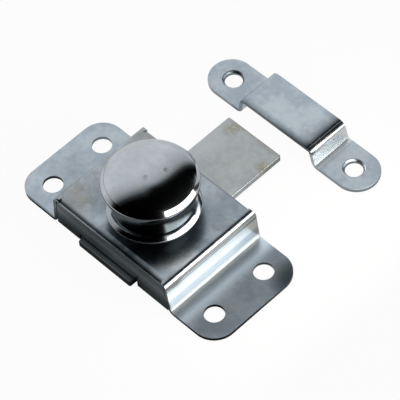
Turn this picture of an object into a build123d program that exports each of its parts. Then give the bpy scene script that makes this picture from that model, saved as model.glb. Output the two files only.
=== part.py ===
from build123d import *
from math import cos, radians, tan
import os

os.makedirs("parts", exist_ok=True)

# Slide bolt with a mushroom knob, and its keeper. Lengths in mm, angles in degrees.
# +X runs along the housing from foot to foot, +Y is the way the bolt is thrown, +Z is up.
# The origin is the middle of the housing's feet, on the surface that it is screwed to.

# Housing, pressed from one sheet: two feet, two end walls, a raised top and two side walls
sheet = 1.0
bend_inside = 1.0
housing_length = 70.0
housing_width = 30.0
housing_height = 10.4
foot_length = 15.5
wall_lean = 5.5
foot_corner_radius = 6.0
screw_hole_diameter = 5.2
screw_end_margin = 6.8
screw_side_margin = 6.7
corner_slit = 0.2
side_wall_gap = 0.6

# Flat bolt bar, and the notches in the side walls that guide it
bar_width = 18.1
bar_thickness = 2.0
bar_tail = 16.5
bar_reach = 35.2
bar_lift = 0.5
guide_offset_x = -1.2
bar_corner_radius = 0.5
bar_edge_break = 0.2
notch_side_clearance = 1.0
notch_top_clearance = 0.45
notch_corner_radius = 0.5

# Travel of the bolt from the place where it is modelled
draw_back = 8.8
throw_on = 1.2

# Stem that joins the knob to the bar through a slot in the top
stem_diameter = 5.4
stem_upper_diameter = 4.4
stem_lower_diameter = 4.0
stem_bore_clearance = 0.05
stem_head_diameter = 7.4
stem_head_height = 0.9
rivet_spread = 1.0
countersink_angle = 90.0
slot_side_clearance = 0.3
slot_end_clearance = 0.2

# Round washer that hides the slot under the knob
washer_diameter = 23.5
washer_thickness = 1.15
washer_bevel = 1.0
washer_lift = 0.05

# Knob: a neck that flares to its foot and to a flange, and a domed cap whose rim laps the flange
neck_foot_diameter = 20.4
neck_waist_diameter = 16.4
neck_flange_diameter = 21.2
neck_height = 9.2
neck_foot_edge = 0.25
neck_foot_flare = 62.0
neck_top_flare = 40.0
neck_flange_thickness = 1.6
counterbore_clearance = 0.4
counterbore_depth = 2.2
cap_sheet = 0.6
dome_diameter = 22.3
dome_rise = 4.2
dome_edge = 0.7
rim_bulge = 0.85
rim_fall = 0.25
rim_height = 1.6

# Bowed leaf spring round the stem, between the bar and the underside of the top
spring_thickness = 0.4
spring_width = 8.0
spring_end_room = 7.0
spring_top_clearance = 0.3
spring_hole_clearance = 0.3
spring_end_radius = 1.5

# Keeper, a bridge of thicker sheet that lies in front of the bolt
keeper_sheet = 1.2
keeper_bend_inside = 1.0
keeper_width = 12.0
keeper_length = 55.4
keeper_height = 6.1
keeper_ear_length = 15.5
keeper_wall_lean = 13.0
keeper_hole_margin = 6.85
keeper_hole_diameter = 4.6
keeper_hole_mouth = 5.8
keeper_center_x = 2.2
keeper_center_y = 45.2

# Lengths and heights that several pieces share
raised_length = housing_length - 2 * foot_length
keeper_raised_length = keeper_length - 2 * keeper_ear_length
bar_top = bar_lift + bar_thickness
top_underside = housing_height - sheet
washer_bottom = housing_height + washer_lift
washer_top = washer_bottom + washer_thickness
neck_top = washer_top + neck_height
slot_width = stem_diameter + 2 * slot_side_clearance
slot_length = draw_back + throw_on + stem_diameter + 2 * slot_end_clearance
slot_center_y = (throw_on - draw_back) / 2


def hat_section(length, height, top_length, thickness, lean, inside):
    """Section of a bridge of sheet: a flat top, two leaning walls, two feet at z = 0."""
    slope = tan(radians(lean))
    across = thickness / cos(radians(lean))
    half = length / 2
    crown = top_length / 2
    foot = crown + (height - thickness) * slope
    room_top = crown + thickness * slope - across
    room_base = crown + height * slope - across
    with BuildSketch(Plane.XZ) as section:
        with BuildLine():
            Polyline(
                (-half, 0), (-half, thickness), (-foot, thickness), (-crown, height),
                (crown, height), (foot, thickness), (half, thickness), (half, 0),
                close=True,
            )
        make_face()
        with BuildLine():
            Polyline(
                (-room_base, 0), (-room_top, height - thickness),
                (room_top, height - thickness), (room_base, 0),
                close=True,
            )
        make_face(mode=Mode.SUBTRACT)
        corners = section.vertices()
        outer_bends = [
            corner for corner in corners
            if abs(abs(corner.X) - crown) < 1e-6 or abs(abs(corner.X) - room_base) < 1e-6
        ]
        inner_bends = [
            corner for corner in corners
            if abs(abs(corner.X) - room_top) < 1e-6 or abs(abs(corner.X) - foot) < 1e-6
        ]
        fillet(outer_bends, inside + thickness)
        fillet(inner_bends, inside)
    return section.sketch


# Housing
bend_outside = sheet + bend_inside
fold_half = raised_length / 2 - bend_outside * tan(radians(90 - wall_lean) / 2)
fold_height = housing_height - bend_outside
fold_edge = housing_width / 2 - bend_outside
notch_width = bar_width + 2 * notch_side_clearance
notch_top = bar_top + notch_top_clearance


def end_wall_inside(height):
    """Half the clear length between the end walls at a height, less the slit at the corner."""
    slope = tan(radians(wall_lean))
    wall = sheet / cos(radians(wall_lean))
    return raised_length / 2 + (housing_height - height) * slope - wall - corner_slit


corner_room = bend_inside - corner_slit
with BuildPart() as side_wall:
    # A quarter-round fold with the wall below it, towards -Y
    with BuildSketch(Plane.YZ):
        with BuildLine():
            CenterArc((-fold_edge, fold_height), bend_outside, 90, 90)
            CenterArc((-fold_edge, fold_height), bend_inside, 90, 90)
            Line((-fold_edge, housing_height), (-fold_edge, top_underside))
            Polyline(
                (-housing_width / 2, fold_height),
                (-housing_width / 2, side_wall_gap),
                (sheet - housing_width / 2, side_wall_gap),
                (sheet - housing_width / 2, fold_height),
            )
        make_face()
    extrude(amount=raised_length, both=True)

    # Its ends follow the inside of the end walls and of their bends, a slit away
    with BuildSketch(Plane.XZ):
        with BuildLine():
            Polyline(
                (-fold_half, fold_height + corner_room),
                (-fold_half, housing_height),
                (fold_half, housing_height),
                (fold_half, fold_height + corner_room),
            )
            CenterArc((fold_half, fold_height), corner_room, 0, 90)
            Polyline(
                (fold_half + corner_room, fold_height),
                (end_wall_inside(side_wall_gap), side_wall_gap),
                (-end_wall_inside(side_wall_gap), side_wall_gap),
                (-fold_half - corner_room, fold_height),
            )
            CenterArc((-fold_half, fold_height), corner_room, 90, 90)
        make_face()
    extrude(amount=housing_width, both=True, mode=Mode.INTERSECT)


with BuildPart() as housing:
    # Strip bent into feet, end walls and top
    extrude(
        hat_section(housing_length, housing_height, raised_length, sheet, wall_lean, bend_inside),
        amount=housing_width / 2,
        both=True,
    )
    foot_corners = housing.edges().filter_by(Axis.Z).group_by(Axis.X)
    fillet(foot_corners[0] + foot_corners[-1], foot_corner_radius)

    # Square edges of the top give way to the folds of the side walls
    with BuildSketch(Plane.XY.offset(housing_height)):
        with Locations((0, fold_edge + bend_outside), (0, -fold_edge - bend_outside)):
            Rectangle(2 * fold_half, 2 * bend_outside)
    extrude(amount=-bend_outside, mode=Mode.SUBTRACT)

    # Ends of the end walls' bends, rounded by the thickness of the sheet
    with BuildSketch(Plane.YZ):
        with BuildLine():
            CenterArc((sheet - housing_width / 2, top_underside), sheet, 90, 90)
            Polyline(
                (sheet - housing_width / 2, housing_height),
                (-housing_width / 2, housing_height),
                (-housing_width / 2, top_underside),
            )
        make_face()
        mirror(about=Plane.YZ)
    extrude(amount=raised_length, both=True, mode=Mode.SUBTRACT)

    # Side walls, one the mirror image of the other
    add(side_wall.part)
    mirror(about=Plane.XZ)

    # Notches for the bar, open below, through both side walls
    with BuildSketch(Plane.XZ) as notch:
        with Locations((guide_offset_x, 0)):
            Rectangle(notch_width, 2 * notch_top)
        fillet(notch.vertices(), notch_corner_radius)
    extrude(amount=housing_width / 2 + sheet, both=True, mode=Mode.SUBTRACT)

    # Slot for the stem
    with BuildSketch(Plane.XY.offset(housing_height)):
        with Locations((0, slot_center_y)):
            SlotOverall(slot_length, slot_width, rotation=90)
    extrude(amount=-2 * sheet, mode=Mode.SUBTRACT)

    # Screw holes
    with Locations(Plane.XY.offset(sheet)):
        with GridLocations(
            housing_length - 2 * screw_end_margin, housing_width - 2 * screw_side_margin, 2, 2
        ):
            Hole(screw_hole_diameter / 2, depth=2 * sheet)


# Bolt bar
with BuildPart() as bolt_bar:
    with BuildSketch(Plane.XY.offset(bar_lift)) as bar_outline:
        with Locations((guide_offset_x, (bar_reach - bar_tail) / 2)):
            Rectangle(bar_width, bar_reach + bar_tail)
        fillet(bar_outline.vertices(), bar_corner_radius)
    extrude(amount=bar_thickness)
    chamfer(bolt_bar.faces().sort_by(Axis.Z)[-1].edges(), bar_edge_break)
    chamfer(bolt_bar.faces().sort_by(Axis.Z)[0].edges(), bar_edge_break)

    # Hole for the stem, countersunk below for its spread end
    with Locations(Plane((0, 0, bar_lift), z_dir=(0, 0, -1))):
        CounterSinkHole(
            stem_lower_diameter / 2 + stem_bore_clearance,
            stem_lower_diameter / 2 + stem_bore_clearance + rivet_spread,
            depth=bar_thickness,
            counter_sink_angle=countersink_angle,
        )


# Stem: a stepped rivet from the bar up into the neck
head_bottom = neck_top - counterbore_depth
with BuildPart() as knob_stem:
    with BuildSketch(Plane.XZ):
        with BuildLine():
            Polyline(
                (0, bar_lift),
                (stem_lower_diameter / 2 + rivet_spread, bar_lift),
                (stem_lower_diameter / 2, bar_lift + rivet_spread),
                (stem_lower_diameter / 2, bar_top),
                (stem_diameter / 2, bar_top),
                (stem_diameter / 2, washer_bottom),
                (stem_upper_diameter / 2, washer_bottom),
                (stem_upper_diameter / 2, head_bottom),
                (stem_head_diameter / 2, head_bottom),
                (stem_head_diameter / 2, head_bottom + stem_head_height),
                (0, head_bottom + stem_head_height),
                close=True,
            )
        make_face()
    revolve(axis=Axis.Z)


# Washer over the slot
with BuildPart() as slot_washer:
    with BuildSketch(Plane.XY.offset(washer_bottom)):
        Circle(washer_diameter / 2)
        Circle(stem_upper_diameter / 2 + stem_bore_clearance, mode=Mode.SUBTRACT)
    extrude(amount=washer_thickness)
    washer_rim = slot_washer.faces().sort_by(Axis.Z)[-1].edges().sort_by(SortBy.RADIUS)[-1]
    chamfer(washer_rim, washer_bevel)


# Neck of the knob
foot_radius = neck_foot_diameter / 2
waist_radius = neck_waist_diameter / 2
flange_radius = neck_flange_diameter / 2
flange_bottom = neck_top - neck_flange_thickness
foot_flare_rise = (foot_radius - waist_radius) * tan(radians(neck_foot_flare))
top_flare_rise = (flange_radius - waist_radius) * tan(radians(neck_top_flare))
with BuildPart() as knob_neck:
    with BuildSketch(Plane.XZ):
        with BuildLine():
            Polyline(
                (0, washer_top),
                (foot_radius, washer_top),
                (foot_radius, washer_top + neck_foot_edge),
                (waist_radius, washer_top + neck_foot_edge + foot_flare_rise),
                (waist_radius, flange_bottom - top_flare_rise),
                (flange_radius, flange_bottom),
                (flange_radius, neck_top),
                (0, neck_top),
                close=True,
            )
        make_face()
    revolve(axis=Axis.Z)

    # Bore for the stem and recess for its head
    with Locations((0, 0, neck_top)):
        CounterBoreHole(
            stem_upper_diameter / 2 + stem_bore_clearance,
            stem_head_diameter / 2 + counterbore_clearance,
            counterbore_depth,
            depth=neck_height,
        )


# Domed cap. Half-way to its edge a shallow dome has fallen by a quarter of its rise.
dome_radius = dome_diameter / 2
rim_radius = dome_radius + rim_bulge
edge_z = neck_top + cap_sheet
crown_z = edge_z + dome_rise
crease_z = edge_z - dome_edge
rim_top = crease_z - rim_fall
rim_bottom = rim_top - rim_height
ball_radius = (dome_radius**2 + dome_rise**2) / (2 * dome_rise)
with BuildPart() as knob_cap:
    with BuildSketch(Plane.XZ):
        with BuildLine():
            RadiusArc((0, crown_z), (dome_radius, edge_z), ball_radius)
            Polyline(
                (dome_radius, edge_z),
                (dome_radius, crease_z),
                (rim_radius, rim_top),
                (rim_radius, rim_bottom),
                (flange_radius, rim_bottom),
                (flange_radius, neck_top),
                (flange_radius / 2, crown_z - cap_sheet - dome_rise / 4),
                (0, crown_z - cap_sheet),
                (0, crown_z),
            )
        make_face()
    revolve(axis=Axis.Z)


# Friction spring, bowed across the bar with its ends up under the top
spring_half = raised_length / 2 - spring_end_room
spring_low = bar_top + spring_thickness
spring_high = top_underside - spring_top_clearance
with BuildPart() as friction_spring:
    with BuildSketch(Plane.XZ):
        with BuildLine():
            ThreePointArc((-spring_half, spring_high), (0, spring_low), (spring_half, spring_high))
            offset(amount=spring_thickness, side=Side.RIGHT)
        make_face()
    extrude(amount=spring_width / 2, both=True)
    with BuildSketch(Plane.XY.offset(bar_top)) as blank:
        Rectangle(2 * (spring_half + spring_thickness), spring_width)
        fillet(blank.vertices(), spring_end_radius)
        Circle(stem_diameter / 2 + spring_hole_clearance, mode=Mode.SUBTRACT)
    extrude(amount=housing_height, mode=Mode.INTERSECT)


# Keeper
with BuildPart() as keeper:
    extrude(
        hat_section(
            keeper_length, keeper_height, keeper_raised_length,
            keeper_sheet, keeper_wall_lean, keeper_bend_inside,
        ),
        amount=keeper_width / 2,
        both=True,
    )
    with BuildSketch() as ears:
        SlotOverall(keeper_length, keeper_width)
    extrude(amount=keeper_height, mode=Mode.INTERSECT)
    with Locations(Plane.XY.offset(keeper_sheet)):
        with GridLocations(keeper_length - 2 * keeper_hole_margin, 0, 2, 1):
            CounterSinkHole(
                keeper_hole_diameter / 2,
                keeper_hole_mouth / 2,
                depth=keeper_sheet,
                counter_sink_angle=countersink_angle,
            )


pieces = {
    "housing": housing.part,
    "bolt_bar": bolt_bar.part,
    "knob_stem": knob_stem.part,
    "slot_washer": slot_washer.part,
    "knob_neck": knob_neck.part,
    "knob_cap": knob_cap.part,
    "friction_spring": friction_spring.part,
    "keeper": keeper.part.moved(Location((keeper_center_x, keeper_center_y, 0))),
}
for name, piece in pieces.items():
    piece.label = name
    export_step(piece, f"parts/{name}.step")
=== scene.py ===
from math import cos, pi, radians, sin

import bmesh
import bpy
from mathutils import Matrix, Vector


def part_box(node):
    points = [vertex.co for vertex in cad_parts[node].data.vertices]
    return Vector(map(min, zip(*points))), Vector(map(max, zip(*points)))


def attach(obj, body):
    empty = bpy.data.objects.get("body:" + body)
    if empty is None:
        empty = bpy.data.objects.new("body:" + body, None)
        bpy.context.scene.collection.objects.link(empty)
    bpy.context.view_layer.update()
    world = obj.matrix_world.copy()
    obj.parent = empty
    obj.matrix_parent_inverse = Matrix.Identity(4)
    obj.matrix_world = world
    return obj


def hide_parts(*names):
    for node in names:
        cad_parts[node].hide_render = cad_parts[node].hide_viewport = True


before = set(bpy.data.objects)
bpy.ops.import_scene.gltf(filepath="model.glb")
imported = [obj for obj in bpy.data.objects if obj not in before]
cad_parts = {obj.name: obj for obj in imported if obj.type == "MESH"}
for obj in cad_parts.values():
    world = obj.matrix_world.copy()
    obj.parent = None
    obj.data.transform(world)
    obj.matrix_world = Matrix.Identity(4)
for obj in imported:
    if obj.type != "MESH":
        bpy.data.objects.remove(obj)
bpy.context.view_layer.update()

# Plated slide bolt with a mushroom knob, and its keeper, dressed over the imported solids.
# Blender lengths are metres, so a size in millimetres is written with MM.
MM = 0.001


# Shader values and nodes

class Value:
    """A socket of a material. Arithmetic on it adds Math nodes."""

    def __init__(self, nodes, socket):
        self.nodes = nodes
        self.socket = socket

    def __add__(self, other):
        return self.nodes.math("ADD", self, other)

    def __radd__(self, other):
        return self.nodes.math("ADD", other, self)

    def __sub__(self, other):
        return self.nodes.math("SUBTRACT", self, other)

    def __rsub__(self, other):
        return self.nodes.math("SUBTRACT", other, self)

    def __mul__(self, other):
        return self.nodes.math("MULTIPLY", self, other)

    def __rmul__(self, other):
        return self.nodes.math("MULTIPLY", other, self)

    def output(self, name):
        """Another output of the node that this socket belongs to."""
        return Value(self.nodes, self.socket.node.outputs[name])


class Nodes:
    """The node tree of a material or a world."""

    def __init__(self, owner):
        owner.use_nodes = True
        self.owner = owner
        self.tree = owner.node_tree
        self.tree.nodes.clear()

    def feed(self, socket, source):
        if isinstance(source, Value):
            self.tree.links.new(source.socket, socket)
        else:
            socket.default_value = source

    def add(self, kind, settings=None, sockets=None, output=0):
        """Adds any node: its settings first, then the values or links of its sockets."""
        node = self.tree.nodes.new("ShaderNode" + kind)
        for name, setting in (settings or {}).items():
            if name == "stops":
                set_stops(node.color_ramp.elements, setting)
            else:
                setattr(node, name, setting)
        for name, source in (sockets or {}).items():
            self.feed(node.inputs[name], source)
        return Value(self, node.outputs[output]) if node.outputs else None

    def math(self, operation, *values):
        return self.add("Math", {"operation": operation}, dict(enumerate(values)))

    def clamp(self, value, low=0.0, high=1.0):
        return self.add("Clamp", {}, {"Value": value, "Min": low, "Max": high})

    def smooth(self, value, low, high):
        """0 at low, 1 at high and a soft step between; low may be the larger."""
        return self.add(
            "MapRange", {"interpolation_type": "SMOOTHSTEP"},
            {"Value": value, "From Min": low, "From Max": high, "To Min": 0.0, "To Max": 1.0},
        )

    def band(self, value, middle, half, soft):
        """1 within half of middle, falling to 0 over soft."""
        distance = self.math("ABSOLUTE", value - middle)
        return self.smooth(distance, half + soft, half)

    def blend(self, share, first, second):
        """Colour mix: first where share is 0, second where it is 1. 6, 7 and 2 are its colour sockets."""
        return self.add(
            "Mix", {"data_type": "RGBA"},
            {0: share, 6: self.color(first), 7: self.color(second)}, output=2,
        )

    def layers(self, color, *rows):
        """Lays tones over a colour one after another, each given with its share."""
        for share, tone in rows:
            color = self.blend(share, color, tone)
        return color

    def color(self, source):
        return source if isinstance(source, Value) else (*source, 1.0)

    def parts(self, vector):
        split = self.add("SeparateXYZ", {}, {0: vector})
        return tuple(split.output(axis) for axis in "XYZ")

    def place(self):
        """Object coordinates: the vector, and its three lengths in metres."""
        vector = self.add("TexCoord", output="Object")
        return vector, *self.parts(vector)

    def noise(self, vector, size, detail=3.0, roughness=0.5, stretch=(1, 1, 1)):
        """Noise from 0 to 1, whose lumps are about size across, stretched along an axis."""
        scaled = self.add(
            "VectorMath", {"operation": "MULTIPLY"},
            {0: vector, 1: tuple(1 / (size * along) for along in stretch)},
        )
        return self.add(
            "TexNoise", {"normalize": True},
            {"Vector": scaled, "Scale": 1.0, "Detail": detail, "Roughness": roughness},
        )

    def metal(self, color, roughness, relief=None):
        """Closes a material with one metal shader. Relief is a height in metres."""
        sockets = {"Base Color": color, "Roughness": roughness, "Metallic": 1.0}
        if relief is not None:
            sockets["Normal"] = self.add("Bump", {}, {"Height": relief, "Distance": 1.0, "Strength": 1.0})
        shader = self.add("BsdfPrincipled", {}, sockets)
        self.add("OutputMaterial", {}, {"Surface": shader})
        return self.owner


def set_stops(ramp, stops):
    """Sets a colour ramp's stops, each given by its place and colour."""
    while len(ramp) < len(stops):
        ramp.new(1.0)
    for stop, (place, color) in zip(ramp, stops):
        stop.position = place
        stop.color = (*color, 1.0)


def new_material(name):
    return Nodes(bpy.data.materials.new(name))


def round_marks(nodes, x, y, *marks):
    """Soft round marks added up, each given by its place and radius in millimetres and its strength."""
    masks = []
    for mark_x, mark_y, radius, strength in marks:
        across = x - mark_x * MM
        along = y - mark_y * MM
        masks.append(nodes.smooth(across * across + along * along, (radius * MM) ** 2, 0.0) * strength)
    return sum(masks)


def added(*rows):
    """Masks added up, each given with its strength."""
    return sum(mask * strength for mask, strength in rows)


# Finishes

def zinc_clouds(nodes, vector):
    """Cloudy tone of zinc plating: large soft clouds and small mottle, about 0.5 in the middle."""
    large = nodes.noise(vector, 9 * MM, detail=2)
    small = nodes.noise(vector, 1.6 * MM, detail=4, roughness=0.6)
    return added((large, 0.6), (small, 0.4))


def clouded(nodes, clouds, spread, dark, light):
    """Dark and light clouds of one plating. A smaller spread parts them more sharply."""
    return nodes.blend(nodes.smooth(clouds, 0.5 - spread, 0.5 + spread), dark, light)


def painted_wall_sheen(nodes, x, z, on_housing):
    """Painted sheen on the walls on the right: bright as a painted reflection, darker low down as painted
    shade, and blue by the foot's fold as a painted reflection.
    """
    # The darker band low down is painted shade, and the blue by the fold is a painted reflection.
    low_down = nodes.band(z, 3.4 * MM, 0.8 * MM, 1.2 * MM) * on_housing
    wall_sheen = nodes.blend(low_down, (0.64, 0.65, 0.64), (0.38, 0.4, 0.42))
    past_fold = nodes.smooth(x, 21.2 * MM, 21.9 * MM)
    by_fold = nodes.blend(past_fold, (0.62, 0.67, 0.7), (0.56, 0.66, 0.75))
    return nodes.blend(nodes.smooth(z, 2 * MM, 1.5 * MM), wall_sheen, by_fold)


def plated_sheet():
    """Zinc plating on housing and keeper.

    The housing's top is stained at its left end, has a painted highlight by its right front corner and
    painted shade in front of the knob. The walls on the right have a painted sheen, and the right foot has
    painted shade towards its end.
    """
    nodes = new_material("plated_sheet")
    vector, x, y, z = nodes.place()
    clouds = zinc_clouds(nodes, vector)
    clean = clouded(nodes, clouds, 0.12, (0.32, 0.375, 0.43), (0.44, 0.495, 0.54))
    on_keeper = nodes.smooth(y, 30 * MM, 31 * MM)
    on_housing = 1 - on_keeper

    on_top = nodes.smooth(z, 8 * MM, 10 * MM)
    mottle = nodes.smooth(nodes.noise(vector, 1.3 * MM, detail=4, roughness=0.65), 0.25, 0.7)
    front_stains = round_marks(nodes, x, y, (-16.5, -11, 4.5, 1), (-13, -12, 3.6, 1), (-15, -2, 12, 0.5))
    back_stain = round_marks(nodes, x, y, (-17, 13, 6, 0.8))
    stained = nodes.clamp(front_stains * mottle + back_stain) * on_top
    # Painted highlight: the top is lightened by its right front corner.
    short_of_fold = nodes.smooth(x, 18.6 * MM, 18.2 * MM)
    painted_highlight = round_marks(nodes, x, y, (15, -6.5, 6, 1)) * on_top * short_of_fold
    # Painted shade on the top, mostly in front of the knob and less to its right and left.
    knob_shade = round_marks(nodes, x, y, (6, -13, 12, 0.68), (13, 6, 10, 0.15), (-14, -10, 9, 0.15))
    patches = nodes.smooth(nodes.noise(vector, 3 * MM), 0.42, 0.62)

    # Painted sheen: the walls on the right and the keeper's wall are lightened as a painted reflection.
    right_wall = nodes.smooth(x, 18.9 * MM, 19.4 * MM) * nodes.smooth(x, 26.5 * MM, 22.8 * MM) * on_housing
    keeper_wall = nodes.band(x, 15.2 * MM, 1.5 * MM, 0.4 * MM) * on_keeper
    wall_sheen = nodes.clamp(added((right_wall, 1), (keeper_wall, 0.8)))
    # Painted shade at the right wall's far end and along its fold line.
    shaded_far_end = right_wall * nodes.smooth(y, 3 * MM, 16 * MM) * nodes.smooth(z, 2 * MM, 3 * MM)
    shaded_fold_line = right_wall * nodes.band(z, 8.2 * MM, 0.05 * MM, 0.25 * MM)

    # Painted highlight in a strip along the front wall, and painted shade towards its foot.
    front_wall = nodes.smooth(y, -14.5 * MM, -14.8 * MM) * nodes.smooth(x, 21 * MM, 20 * MM)
    painted_strip_highlight = front_wall * nodes.band(z, 6.6 * MM, 0.5 * MM, 0.8 * MM)
    shaded_front_foot = front_wall * nodes.smooth(z, 5 * MM, 3 * MM)

    # Painted shade on the feet, strongest on the right foot and its outer corner.
    low = nodes.smooth(z, 4 * MM, 1.5 * MM)
    left_foot = low * round_marks(nodes, x, y, (-27, -3, 8, 1))
    shaded_right_foot = low * nodes.smooth(x, 22 * MM, 28 * MM) * on_housing
    shaded_outer_corner = shaded_right_foot * round_marks(nodes, x, y, (36, 12, 8, 1))
    cut_edge = nodes.smooth(z, 0.95 * MM, 0.82 * MM)
    # Painted shade along the keeper's front edge, stronger towards its right end.
    shaded_keeper_front = on_keeper * nodes.smooth(z, 4 * MM, 5 * MM) * nodes.smooth(y, 41.5 * MM, 39 * MM)
    shaded_keeper_end = shaded_keeper_front * nodes.smooth(x, -2 * MM, 9 * MM)
    # All the painted shade, laid in one dark tone, patchy over the top; the cut edge at the bottom is darker
    # too.
    painted_shade_and_cut_edge = nodes.clamp(added(
        (on_top, 0.2), (on_top * knob_shade, 1), (on_top * patches, 0.1),
        (shaded_keeper_front, 0.5), (shaded_keeper_end, 0.3),
        (shaded_far_end, 0.5), (shaded_fold_line, 0.6), (shaded_front_foot, 0.5),
        (left_foot, 0.18), (shaded_right_foot, 0.45), (shaded_outer_corner, 0.5), (cut_edge, 0.6),
    ))
    color = nodes.layers(
        clean,
        (stained * 0.65, (0.38, 0.355, 0.32)),
        (wall_sheen, painted_wall_sheen(nodes, x, z, on_housing)),
        (painted_highlight * 0.7, (0.78, 0.82, 0.82)),
        (painted_strip_highlight * 0.6, (0.72, 0.78, 0.8)),
        (painted_shade_and_cut_edge, (0.022, 0.033, 0.038)),
    )
    roughness = 0.15 + added((clouds, 0.12), (low, 0.12))
    return nodes.metal(color, roughness, sheet_relief(nodes, x, on_keeper, on_housing))


def sheet_relief(nodes, x, on_keeper, on_housing):
    """The right foot and the keeper's top both bend down slightly towards their right ends."""
    foot_drop = 1.6 * MM
    foot_sag = nodes.smooth(x, 23 * MM, 37 * MM) * (-foot_drop) * on_housing
    keeper_bend = 40.0
    past_middle = nodes.clamp(x - 8.5 * MM, 0.0, 4.7 * MM)
    keeper_sag = past_middle * past_middle * (-keeper_bend) * on_keeper
    return foot_sag + keeper_sag


def plated_bar():
    """Zinc plating on the bar: yellow-brown stains towards the tip, and painted shade over the tail."""
    nodes = new_material("plated_bar")
    vector, x, y, _ = nodes.place()
    clouds = zinc_clouds(nodes, vector)
    clean = clouded(nodes, clouds, 0.15, (0.33, 0.355, 0.37), (0.43, 0.46, 0.475))
    specks = nodes.smooth(nodes.noise(vector, 0.7 * MM, roughness=0.7), 0.3, 0.6)
    corner_stains = round_marks(nodes, x, y, (-6.7, 32.7, 2.7, 1), (7.3, 29.8, 2.8, 1), (2, 26, 9, 0.15))
    tip_line = nodes.smooth(y, 33.6 * MM, 34.8 * MM)
    stained = nodes.clamp(added((corner_stains, 1), (tip_line, 0.6)) * specks * 0.7)
    # Painted shade over the tail outside the housing, standing for the dark it reflects.
    tail = nodes.smooth(y, -13 * MM, -14.5 * MM)
    # Painted shade along the cut side's edge, which dims its highlight.
    cut_side = nodes.smooth(x, 7.68 * MM, 7.78 * MM)
    bar_shade_tone = (0.04, 0.045, 0.045)
    color = nodes.layers(
        clean,
        (stained, (0.27, 0.25, 0.16)),
        (tail * 0.8, bar_shade_tone),
        (cut_side * 0.12, bar_shade_tone),
    )
    return nodes.metal(color, 0.28 + added((clouds, 0.16), (cut_side, 0.1)))


def bright_plating():
    """Bright plating on cap and washer: slightly yellowed, two marks on the dome, painted shade in the
    crease under it and on the washer's front left.
    """
    nodes = new_material("bright_plating")
    vector, x, y, z = nodes.place()
    clouds = zinc_clouds(nodes, vector)
    clean = clouded(nodes, clouds, 0.15, (0.38, 0.415, 0.45), (0.45, 0.485, 0.515))
    yellowed = nodes.smooth(nodes.noise(vector, 3 * MM, detail=2), 0.5, 0.7)
    on_dome = nodes.smooth(z, 20 * MM, 21 * MM)
    ragged = nodes.smooth(nodes.noise(vector, 0.5 * MM), 0.3, 0.6)
    dents = round_marks(nodes, x, y, (1.7, -2.8, 0.9, 0.5), (3.6, 2.2, 0.8, 0.8)) * ragged * on_dome
    # Painted shade in the crease under the dome's edge.
    crease = nodes.band(z, 21.45 * MM, 0.05 * MM, 0.08 * MM)
    on_washer = nodes.smooth(z, 13 * MM, 12.5 * MM)
    # Painted shade over the washer's bevel at its front left.
    shaded_washer_patch = round_marks(nodes, x, y, (-6, -9.7, 5, 1)) * on_washer
    color = nodes.layers(
        clean,
        (yellowed * 0.35, (0.40, 0.41, 0.39)),
        (dents, (0.1, 0.1, 0.1)),
        (crease * 0.6, (0.08, 0.08, 0.08)),
        (shaded_washer_patch * 0.3, (0.1, 0.11, 0.12)),
    )
    worn_edge = nodes.smooth(z, 10.8 * MM, 10.6 * MM)
    return nodes.metal(color, 0.07 + added((clouds, 0.08), (worn_edge, 0.4)))


def dark_plating():
    """The neck is much darker than the cap, as painted shade under the cap, up to its flange."""
    nodes = new_material("dark_plating")
    vector, _, _, z = nodes.place()
    clouds = zinc_clouds(nodes, vector)
    # Painted shade: the neck under the cap is coloured near black.
    neck = clouded(nodes, clouds, 0.2, (0.05, 0.064, 0.072), (0.08, 0.097, 0.107))
    on_flange = nodes.smooth(z, 18.6 * MM, 19.4 * MM)
    color = nodes.blend(on_flange, neck, (0.26, 0.29, 0.3))
    return nodes.metal(color, 0.12 + clouds * 0.08)


def spring_steel():
    nodes = new_material("spring_steel")
    vector = nodes.place()[0]
    grain = nodes.noise(vector, 0.5 * MM, stretch=(8, 1, 1))
    color = nodes.blend(grain, (0.16, 0.16, 0.17), (0.26, 0.27, 0.28))
    return nodes.metal(color, 0.3 + grain * 0.1)


# Pieces

def finished_mesh(shape, name):
    mesh = bpy.data.meshes.new(name)
    shape.to_mesh(mesh)
    shape.free()
    return mesh


def new_piece(name, mesh, material, body, replaced):
    """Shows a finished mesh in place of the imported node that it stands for."""
    mesh.materials.append(material)
    piece = bpy.data.objects.new(name, mesh)
    bpy.context.collection.objects.link(piece)
    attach(piece, body)
    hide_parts(replaced)
    return piece


def softened_copy(node, edge_round):
    """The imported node's own shape as one merged mesh, with its sharp edges slightly rounded."""
    merge_distance = 0.002 * MM
    flat_angle = radians(0.5)
    sharp_angle = radians(35)
    shape = bmesh.new()
    shape.from_mesh(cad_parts[node].data)
    bmesh.ops.remove_doubles(shape, verts=shape.verts, dist=merge_distance)
    bmesh.ops.dissolve_limit(
        shape, angle_limit=flat_angle, verts=shape.verts, edges=shape.edges,
        use_dissolve_boundaries=False,
    )
    sharp = [
        edge for edge in shape.edges
        if len(edge.link_faces) == 2 and edge.calc_face_angle() > sharp_angle
    ]
    bmesh.ops.bevel(
        shape, geom=sharp, offset=edge_round, offset_type="OFFSET", affect="EDGES",
        segments=2, profile=0.5, material=-1, clamp_overlap=True, miter_outer="ARC",
    )
    for face in shape.faces:
        face.smooth = True
    mesh = finished_mesh(shape, node)
    mesh.materials.clear()
    return mesh


def keep_flat(piece):
    """Flat faces keep their own normal beside the rounded edges."""
    modifier = piece.modifiers.new("flat_faces", "WEIGHTED_NORMAL")
    modifier.mode = "FACE_AREA"
    modifier.weight = 50
    modifier.keep_sharp = True


def arc(center, radius, start, end, steps):
    """Points of a section's arc as (radius, height), by angles in degrees from straight outwards."""
    turns = (radians(start + (end - start) * step / steps) for step in range(steps + 1))
    return [(center[0] + radius * cos(turn), center[1] + radius * sin(turn)) for turn in turns]


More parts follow.
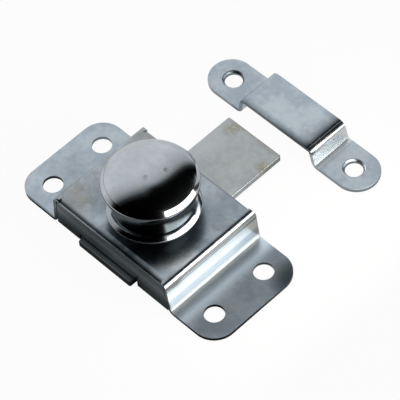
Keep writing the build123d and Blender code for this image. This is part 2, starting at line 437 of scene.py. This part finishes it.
def flare(waist, mouth, steps=12, power=1.5):
    """Points of a section's flare: it leaves the waist upright and widens towards the mouth."""
    waist_radius, waist_height = waist
    mouth_radius, mouth_height = mouth
    rise = [step / steps for step in range(steps + 1)]
    return [
        (waist_radius + (mouth_radius - waist_radius) * t ** power,
         waist_height + (mouth_height - waist_height) * t)
        for t in rise
    ]


def turned(name, section, steps=160):
    """Turns a closed section, given as (radius, height) points in millimetres, about the Z axis."""
    merge_distance = 0.001 * MM
    sharp_angle = radians(35)
    shape = bmesh.new()
    corners = [shape.verts.new((radius * MM, 0, height * MM)) for radius, height in section]
    edges = [
        shape.edges.new((corners[place], corners[(place + 1) % len(corners)]))
        for place in range(len(corners))
    ]
    bmesh.ops.spin(
        shape, geom=corners + edges, cent=(0, 0, 0), axis=(0, 0, 1), angle=2 * pi, steps=steps,
        use_merge=True,
    )
    bmesh.ops.remove_doubles(shape, verts=shape.verts, dist=merge_distance)
    bmesh.ops.recalc_face_normals(shape, faces=shape.faces)
    for face in shape.faces:
        face.smooth = True
    for edge in shape.edges:
        edge.smooth = len(edge.link_faces) != 2 or edge.calc_face_angle() < sharp_angle
    return finished_mesh(shape, name)


def node_size(node):
    """Outer radius, bottom and top of a round node, in millimetres."""
    low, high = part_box(node)
    return (high.x - low.x) / 2 / MM, low.z / MM, high.z / MM


def cap_section():
    """Dome, a fine crease at its edge, and the rim: a rounded shoulder over an upright band."""
    rim, bottom, top = node_size("knob_cap")
    ball = 16.9
    ball_center = top - ball
    edge_slope = 49.0
    edge_radius = ball * cos(radians(edge_slope))
    edge_height = ball_center + ball * sin(radians(edge_slope))
    crease_inset = 0.04
    crease_drop = 0.06
    band_height = 1.0
    shoulder = 0.8
    shoulder_start = 46
    foot_round = 0.2
    inner_rim = 10.6
    flange_seat = bottom + 1.95
    return [
        *arc((0, ball_center), ball, 90, edge_slope, 40),
        (edge_radius - crease_inset, edge_height - crease_drop),
        *arc((rim - shoulder, bottom + band_height), shoulder, shoulder_start, 0, 12),
        *arc((rim - foot_round, bottom + foot_round), foot_round, 0, -90, 4),
        (inner_rim, bottom),
        (inner_rim, flange_seat),
        (inner_rim / 2, top - 1.65),
        (0, top - 0.6),
    ]


# Radius of the hole for the stem, through neck and washer, in millimetres
STEM_HOLE = 2.25


def neck_section():
    """Bell-shaped foot, waist and flange, with the bore and the recess for the stem's head."""
    flange, bottom, top = node_size("knob_neck")
    foot = 10.2
    foot_edge = bottom + 0.25
    waist = 8.2
    waist_start = foot_edge + 3.76
    flange_bottom = top - 1.6
    waist_end = flange_bottom - 2.01
    recess = 4.1
    recess_floor = top - 2.2
    return [
        (STEM_HOLE, bottom),
        (foot, bottom),
        *reversed(flare((waist, waist_start), (foot, foot_edge))),
        *flare((waist, waist_end), (flange, flange_bottom)),
        (flange, top),
        (recess, top),
        (recess, recess_floor),
        (STEM_HOLE, recess_floor),
    ]


def washer_section():
    """Flat washer with a bevelled top edge, whose two corners are slightly rounded."""
    outer, bottom, top = node_size("slot_washer")
    bevel = 1.0
    corner = 0.1
    corner_inset = 0.04
    return [
        (STEM_HOLE, bottom),
        (outer, bottom),
        *arc((outer - corner, top - bevel), corner, 0, 45, 3),
        *arc((outer - bevel - corner_inset, top - corner), corner, 45, 90, 3),
        (STEM_HOLE, top),
    ]


def build_pieces():
    sheet = plated_sheet()
    bar = plated_bar()
    bright = bright_plating()
    for name, node, edge_round, material, body, slot in (
        ("pressed_housing", "housing", 0.12 * MM, sheet, "housing", "plated_sheet"),
        ("bridge_keeper", "keeper", 0.12 * MM, sheet, "housing", "plated_sheet"),
        ("flat_bar", "bolt_bar", 0.1 * MM, bar, "bolt", "plated_bar"),
    ):
        keep_flat(new_piece(name, softened_copy(node, edge_round), material, body, node))
    for name, node, section, material in (
        ("domed_cap", "knob_cap", cap_section(), bright),
        ("waisted_neck", "knob_neck", neck_section(), dark_plating()),
        ("bevelled_washer", "slot_washer", washer_section(), bright),
    ):
        new_piece(name, turned(name, section), material, "bolt", node)
    for node, material in (("knob_stem", bar), ("friction_spring", spring_steel())):
        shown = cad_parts[node].data
        for place in range(len(shown.materials)):
            shown.materials[place] = material


# Studio

def build_floor():
    """Pale floor with a soft shadow.

    In the metal it is white behind the bolt and to its left, and dark in front of it and under the keeper,
    as a painted shadow.
    """
    half_width = 1.5
    clearance = 0.02 * MM
    shape = bmesh.new()
    bmesh.ops.create_grid(shape, x_segments=1, y_segments=1, size=half_width)
    bmesh.ops.translate(shape, verts=shape.verts, vec=(0, 0, -clearance))
    nodes = new_material("pale_floor")
    _, x, y, _ = nodes.place()
    ray = nodes.add("LightPath")
    by_camera, by_metal, by_glass = (
        ray.output(kind) for kind in ("Is Camera Ray", "Is Glossy Ray", "Is Transmission Ray")
    )
    # Painted shadow, seen only in the metal: dark in front of the bolt and under the keeper.
    behind = nodes.smooth(y, -6 * MM, 14 * MM) * 0.85
    to_left = nodes.smooth(x * -0.9 - y * 0.3, 20 * MM, 60 * MM)
    painted_keeper_shadow = nodes.band(y, 35 * MM, 3 * MM, 3 * MM) * nodes.band(x, 1 * MM, 13 * MM, 3 * MM)
    white_in_metal = nodes.math("MAXIMUM", behind, to_left) * (1 - painted_keeper_shadow * 0.5)
    whiteness = nodes.clamp((by_camera + by_glass) * 0.95 + by_metal * white_in_metal)
    # The floor is darker in the metal than to the camera, as a painted shadow.
    tone = nodes.blend(by_metal, (0.85, 0.85, 0.85), (0.26, 0.27, 0.27))
    paper = nodes.add("BsdfDiffuse", {}, {"Color": tone})
    white = nodes.add("Emission", {}, {"Color": (1, 1, 1, 1), "Strength": 1.0})
    surface = nodes.add("MixShader", {}, {0: whiteness, 1: paper, 2: white})
    nodes.add("OutputMaterial", {}, {"Surface": surface})
    mesh = finished_mesh(shape, "floor")
    mesh.materials.append(nodes.owner)
    floor = bpy.data.objects.new("floor", mesh)
    bpy.context.collection.objects.link(floor)


def build_world():
    """A white tent on the left that fades overhead to a dark side, where the camera stands.

    A bright window stands low on the dark side, to the right. The camera itself sees plain white.
    """
    world = bpy.data.worlds.new("studio")
    bpy.context.scene.world = world
    nodes = Nodes(world)
    x, y, z = nodes.parts(nodes.add("TexCoord"))
    tent_edge = y * 0.4 - y * y * 0.56 - 0.04
    past_edge = x - tent_edge
    lit_blur = 1 - nodes.smooth(y, -0.3, -0.7) * 0.6
    dark_blur = 1 - nodes.smooth(y, 0.05, -0.3) * 0.5
    into_dark = nodes.math("MAXIMUM", past_edge, 0.0) * dark_blur
    into_tent = nodes.math("MINIMUM", past_edge, 0.0) * lit_blur
    tent = nodes.add("ValToRGB", {"stops": [
        (0.0, (1.08, 1.08, 1.08)),
        (0.25, (0.92, 0.92, 0.92)),
        (0.45, (0.66, 0.66, 0.66)),
        (0.54, (0.3, 0.3, 0.3)),
        (0.6, (0.04, 0.04, 0.04)),
        (0.68, (0.0, 0.0, 0.0)),
    ]}, {"Fac": into_dark + into_tent + 0.5})
    height = nodes.math("ARCSINE", z)
    turn = nodes.math("ARCTAN2", y, x)
    near_side = nodes.clamp(turn, radians(-20), radians(30))
    across = nodes.band(turn, radians(29), radians(36), radians(20))
    under_top = nodes.smooth(height + turn * 0.3, radians(40), radians(34))
    over_sill = nodes.smooth(height + near_side * 0.45, radians(19), radians(25))
    glow = (3.0, 3.05, 3.1)
    lit = nodes.blend(across * under_top * over_sill, tent, glow)
    white = (1, 1, 1)
    shown = nodes.blend(nodes.add("LightPath").output("Is Camera Ray"), lit, white)
    back = nodes.add("Background", {}, {"Color": shown, "Strength": 1.0})
    nodes.add("OutputWorld", {}, {"Surface": back})


def build_light():
    """A low soft light close by on the right, which the feet throw on to the end walls."""
    low = Vector((0.055, -0.02, 0.02))
    high = Vector((0.055, 0.065, 0.046))
    radiance = 6.0
    facing_left = Matrix((
        (0, 0, 1, 0),
        (-1, 0, 0, 0),
        (0, -1, 0, 0),
        (0, 0, 0, 1),
    ))
    data = bpy.data.lights.new("right_light", "AREA")
    data.shape = "RECTANGLE"
    data.size = high.y - low.y
    data.size_y = high.z - low.z
    data.color = (1.0, 0.95, 0.88)
    data.energy = radiance * pi * data.size * data.size_y
    light = bpy.data.objects.new("right_light", data)
    light.matrix_world = Matrix.Translation((low + high) / 2) @ facing_left
    light.visible_camera = False
    bpy.context.collection.objects.link(light)


def build_camera():
    """The photograph's view: from the front right, 53 degrees above the surface, slightly rolled."""
    place = Vector((0.29752, -0.23156, 0.51482))
    ahead = Vector((-0.46096, 0.38118, -0.80138))
    right = Vector((0.70147, 0.70964, -0.06595))
    up = right.cross(ahead)
    focal_pixels = 2628.9
    frame_pixels = 400
    data = bpy.data.cameras.new("camera")
    data.sensor_width = 36
    data.lens = focal_pixels * data.sensor_width / frame_pixels
    data.clip_start = 0.01
    camera = bpy.data.objects.new("camera", data)
    camera.matrix_world = Matrix.Translation(place) @ Matrix((right, up, -ahead)).transposed().to_4x4()
    bpy.context.collection.objects.link(camera)
    bpy.context.scene.camera = camera
    bpy.context.scene.view_settings.view_transform = "Standard"


build_pieces()
build_floor()
build_world()
build_light()
build_camera()
